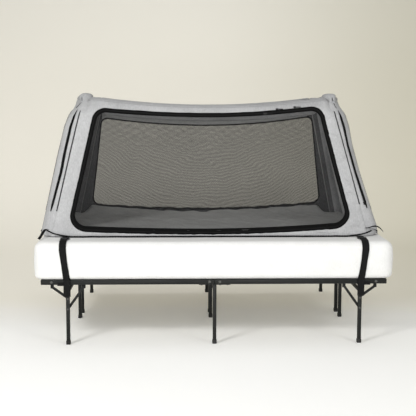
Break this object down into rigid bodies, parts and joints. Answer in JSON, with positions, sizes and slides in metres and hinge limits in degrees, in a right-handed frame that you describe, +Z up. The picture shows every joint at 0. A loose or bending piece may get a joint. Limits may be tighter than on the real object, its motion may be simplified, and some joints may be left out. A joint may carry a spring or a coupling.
{
  "type": "inflatable travel bed",
  "caption": "Inflatable sleeping enclosure with a mesh door, strapped on a mattress in a white cover on a folding steel platform with braced legs.",
  "frame": {"origin": "middle of the bed's footprint on the floor", "axes": "+X along the bed's length, +Z up, the mesh door faces -Y"},
  "size_m": [1.956, 1.3946, 1.3529],
  "materials": {
    "air_frame": "coated film, slight sheen",
    "back_window": "fine black mesh",
    "base_panel": "light grey heather oxford cloth",
    "buckle_back_left": "satin black",
    "buckle_back_right": "satin black",
    "buckle_front_left": "satin black",
    "buckle_front_right": "satin black",
    "deck_back_left": "matt black powder coat",
    "deck_back_right": "matt black powder coat",
    "deck_front_left": "matt black powder coat",
    "deck_front_right": "matt black powder coat",
    "door_panel": "fine black mesh",
    "door_slider": "satin black",
    "door_zip": "black webbing",
    "floor_pad": "dark grey brushed cloth",
    "fold_strut_back_left": "matt black powder coat",
    "fold_strut_back_right": "matt black powder coat",
    "fold_strut_front_left": "matt black powder coat",
    "fold_strut_front_right": "matt black powder coat",
    "half_clip_left": "matt black powder coat",
    "half_clip_right": "matt black powder coat",
    "hook_brace_back_left": "matt black powder coat",
    "hook_brace_back_right": "matt black powder coat",
    "hook_brace_front_left": "matt black powder coat",
    "hook_brace_front_right": "matt black powder coat",
    "leg_frame_back_left": "matt black powder coat",
    "leg_frame_back_middle": "matt black powder coat",
    "leg_frame_back_right": "matt black powder coat",
    "leg_frame_front_left": "matt black powder coat",
    "leg_frame_front_middle": "matt black powder coat",
    "leg_frame_front_right": "matt black powder coat",
    "mattress_core": "open foam",
    "mattress_cover": "white knitted cotton",
    "pivot_rod_back_left": "zinc plated",
    "pivot_rod_back_right": "zinc plated",
    "pivot_rod_front_left": "zinc plated",
    "pivot_rod_front_right": "zinc plated",
    "post_sleeve_back_left": "light grey heather oxford cloth",
    "post_sleeve_back_right": "light grey heather oxford cloth",
    "post_sleeve_front_left": "light grey heather oxford cloth",
    "post_sleeve_front_right": "light grey heather oxford cloth",
    "roof_panel": "fine black mesh",
    "side_slider_back_left": "satin black",
    "side_slider_back_right": "satin black",
    "side_slider_front_left": "satin black",
    "side_slider_front_right": "satin black",
    "strap_back_left": "black webbing",
    "strap_back_right": "black webbing",
    "strap_front_left": "black webbing",
    "strap_front_right": "black webbing",
    "top_sleeve_back": "light grey heather oxford cloth",
    "top_sleeve_front": "light grey heather oxford cloth",
    "top_sleeve_left": "light grey heather oxford cloth",
    "top_sleeve_right": "light grey heather oxford cloth",
    "valve_body": "satin black",
    "valve_cap": "satin black",
    "wall_back": "light grey heather oxford cloth",
    "wall_front": "light grey heather oxford cloth",
    "wall_left": "light grey heather oxford cloth",
    "wall_right": "light grey heather oxford cloth"
  },
  "bodies": {
    "bed": {"air_frame": "air_frame", "back_window": "back_window", "base_panel": "base_panel", "buckle_back_left": "buckle_back_left", "buckle_back_right": "buckle_back_right", "buckle_front_left": "buckle_front_left", "buckle_front_right": "buckle_front_right", "deck_back_left": "deck_back_left", "deck_back_right": "deck_back_right", "deck_front_left": "deck_front_left", "deck_front_right": "deck_front_right", "door_zip": "door_zip", "floor_pad": "floor_pad", "half_clip_left": "half_clip_left", "half_clip_right": "half_clip_right", "leg_frame_back_middle": "leg_frame_back_middle", "leg_frame_front_middle": "leg_frame_front_middle", "mattress_core": "mattress_core", "mattress_cover": "mattress_cover", "pivot_rod_back_left": "pivot_rod_back_left", "pivot_rod_back_right": "pivot_rod_back_right", "pivot_rod_front_left": "pivot_rod_front_left", "pivot_rod_front_right": "pivot_rod_front_right", "post_sleeve_back_left": "post_sleeve_back_left", "post_sleeve_back_right": "post_sleeve_back_right", "post_sleeve_front_left": "post_sleeve_front_left", "post_sleeve_front_right": "post_sleeve_front_right", "roof_panel": "roof_panel", "strap_back_left": "strap_back_left", "strap_back_right": "strap_back_right", "strap_front_left": "strap_front_left", "strap_front_right": "strap_front_right", "top_sleeve_back": "top_sleeve_back", "top_sleeve_front": "top_sleeve_front", "top_sleeve_left": "top_sleeve_left", "top_sleeve_right": "top_sleeve_right", "valve_body": "valve_body", "wall_back": "wall_back", "wall_front": "wall_front", "wall_left": "wall_left", "wall_right": "wall_right"},
    "legs_front_left": {"leg_frame_front_left": "leg_frame_front_left"},
    "strut_front_left": {"fold_strut_front_left": "fold_strut_front_left"},
    "hook_front_left": {"hook_brace_front_left": "hook_brace_front_left"},
    "zip_slider_front_left": {"side_slider_front_left": "side_slider_front_left"},
    "legs_front_right": {"leg_frame_front_right": "leg_frame_front_right"},
    "strut_front_right": {"fold_strut_front_right": "fold_strut_front_right"},
    "hook_front_right": {"hook_brace_front_right": "hook_brace_front_right"},
    "zip_slider_front_right": {"side_slider_front_right": "side_slider_front_right"},
    "legs_back_left": {"leg_frame_back_left": "leg_frame_back_left"},
    "strut_back_left": {"fold_strut_back_left": "fold_strut_back_left"},
    "hook_back_left": {"hook_brace_back_left": "hook_brace_back_left"},
    "zip_slider_back_left": {"side_slider_back_left": "side_slider_back_left"},
    "legs_back_right": {"leg_frame_back_right": "leg_frame_back_right"},
    "strut_back_right": {"fold_strut_back_right": "fold_strut_back_right"},
    "hook_back_right": {"hook_brace_back_right": "hook_brace_back_right"},
    "zip_slider_back_right": {"side_slider_back_right": "side_slider_back_right"},
    "door": {"door_panel": "door_panel"},
    "door_zip_slider": {"door_slider": "door_slider"},
    "cap": {"valve_cap": "valve_cap"}
  },
  "joints": [
    {"name": "leg_fold_front_left", "type": "hinge", "parent": "bed", "child": "legs_front_left", "pos_m": [-0.79, -0.6665, 0.313], "axis": [0, -1, 0], "range_deg": [0, 88]},
    {"name": "strut_fold_front_left", "type": "hinge", "parent": "legs_front_left", "child": "strut_front_left", "pos_m": [-0.79, -0.6542, 0.195], "axis": [0, -1, 0], "range_deg": [-141, 0]},
    {"name": "hook_swing_front_left", "type": "hinge", "parent": "bed", "child": "hook_front_left", "pos_m": [-0.875, -0.6542, 0.313], "axis": [0, 1, 0], "range_deg": [0, 110]},
    {"name": "side_zip_run_front_left", "type": "slide", "parent": "bed", "child": "zip_slider_front_left", "axis": [0.2169, 0.1767, 0.9601], "range_m": [0, 0.5]},
    {"name": "leg_fold_front_right", "type": "hinge", "parent": "bed", "child": "legs_front_right", "pos_m": [0.79, -0.6665, 0.313], "axis": [0, 1, 0], "range_deg": [0, 88]},
    {"name": "strut_fold_front_right", "type": "hinge", "parent": "legs_front_right", "child": "strut_front_right", "pos_m": [0.79, -0.6542, 0.195], "axis": [0, 1, 0], "range_deg": [-141, 0]},
    {"name": "hook_swing_front_right", "type": "hinge", "parent": "bed", "child": "hook_front_right", "pos_m": [0.875, -0.6542, 0.313], "axis": [0, -1, 0], "range_deg": [0, 110]},
    {"name": "side_zip_run_front_right", "type": "slide", "parent": "bed", "child": "zip_slider_front_right", "axis": [-0.2169, 0.1767, 0.9601], "range_m": [0, 0.5]},
    {"name": "leg_fold_back_left", "type": "hinge", "parent": "bed", "child": "legs_back_left", "pos_m": [-0.79, 0.6665, 0.313], "axis": [0, -1, 0], "range_deg": [0, 88]},
    {"name": "strut_fold_back_left", "type": "hinge", "parent": "legs_back_left", "child": "strut_back_left", "pos_m": [-0.79, 0.6542, 0.195], "axis": [0, -1, 0], "range_deg": [-141, 0]},
    {"name": "hook_swing_back_left", "type": "hinge", "parent": "bed", "child": "hook_back_left", "pos_m": [-0.875, 0.6542, 0.313], "axis": [0, 1, 0], "range_deg": [0, 110]},
    {"name": "side_zip_run_back_left", "type": "slide", "parent": "bed", "child": "zip_slider_back_left", "axis": [0.2169, -0.1767, 0.9601], "range_m": [0, 0.5]},
    {"name": "leg_fold_back_right", "type": "hinge", "parent": "bed", "child": "legs_back_right", "pos_m": [0.79, 0.6665, 0.313], "axis": [0, 1, 0], "range_deg": [0, 88]},
    {"name": "strut_fold_back_right", "type": "hinge", "parent": "legs_back_right", "child": "strut_back_right", "pos_m": [0.79, 0.6542, 0.195], "axis": [0, 1, 0], "range_deg": [-141, 0]},
    {"name": "hook_swing_back_right", "type": "hinge", "parent": "bed", "child": "hook_back_right", "pos_m": [0.875, 0.6542, 0.313], "axis": [0, -1, 0], "range_deg": [0, 110]},
    {"name": "side_zip_run_back_right", "type": "slide", "parent": "bed", "child": "zip_slider_back_right", "axis": [-0.2169, -0.1767, 0.9601], "range_m": [0, 0.5]},
    {"name": "door_drop", "type": "hinge", "parent": "bed", "child": "door", "pos_m": [-0.022, -0.50064, 0.59861], "axis": [1, 0, 0], "range_deg": [0, 105]},
    {"name": "door_zip_run", "type": "slide", "parent": "bed", "child": "door_zip_slider", "axis": [0.9982, 0.0109, 0.0594], "range_m": [-0.25, 0.25]},
    {"name": "valve_cap_flip", "type": "hinge", "parent": "bed", "child": "cap", "pos_m": [0.88246, 0.47023, 0.6709], "axis": [0.7071, -0.7071, 0], "range_deg": [0, 110]}
  ],
  "couplings": [
    {"joint": "strut_fold_front_left", "follows": "leg_fold_front_left", "ratio": -1.5979},
    {"joint": "strut_fold_front_right", "follows": "leg_fold_front_right", "ratio": -1.5979},
    {"joint": "strut_fold_back_left", "follows": "leg_fold_back_left", "ratio": -1.5979},
    {"joint": "strut_fold_back_right", "follows": "leg_fold_back_right", "ratio": -1.5979}
  ]
}
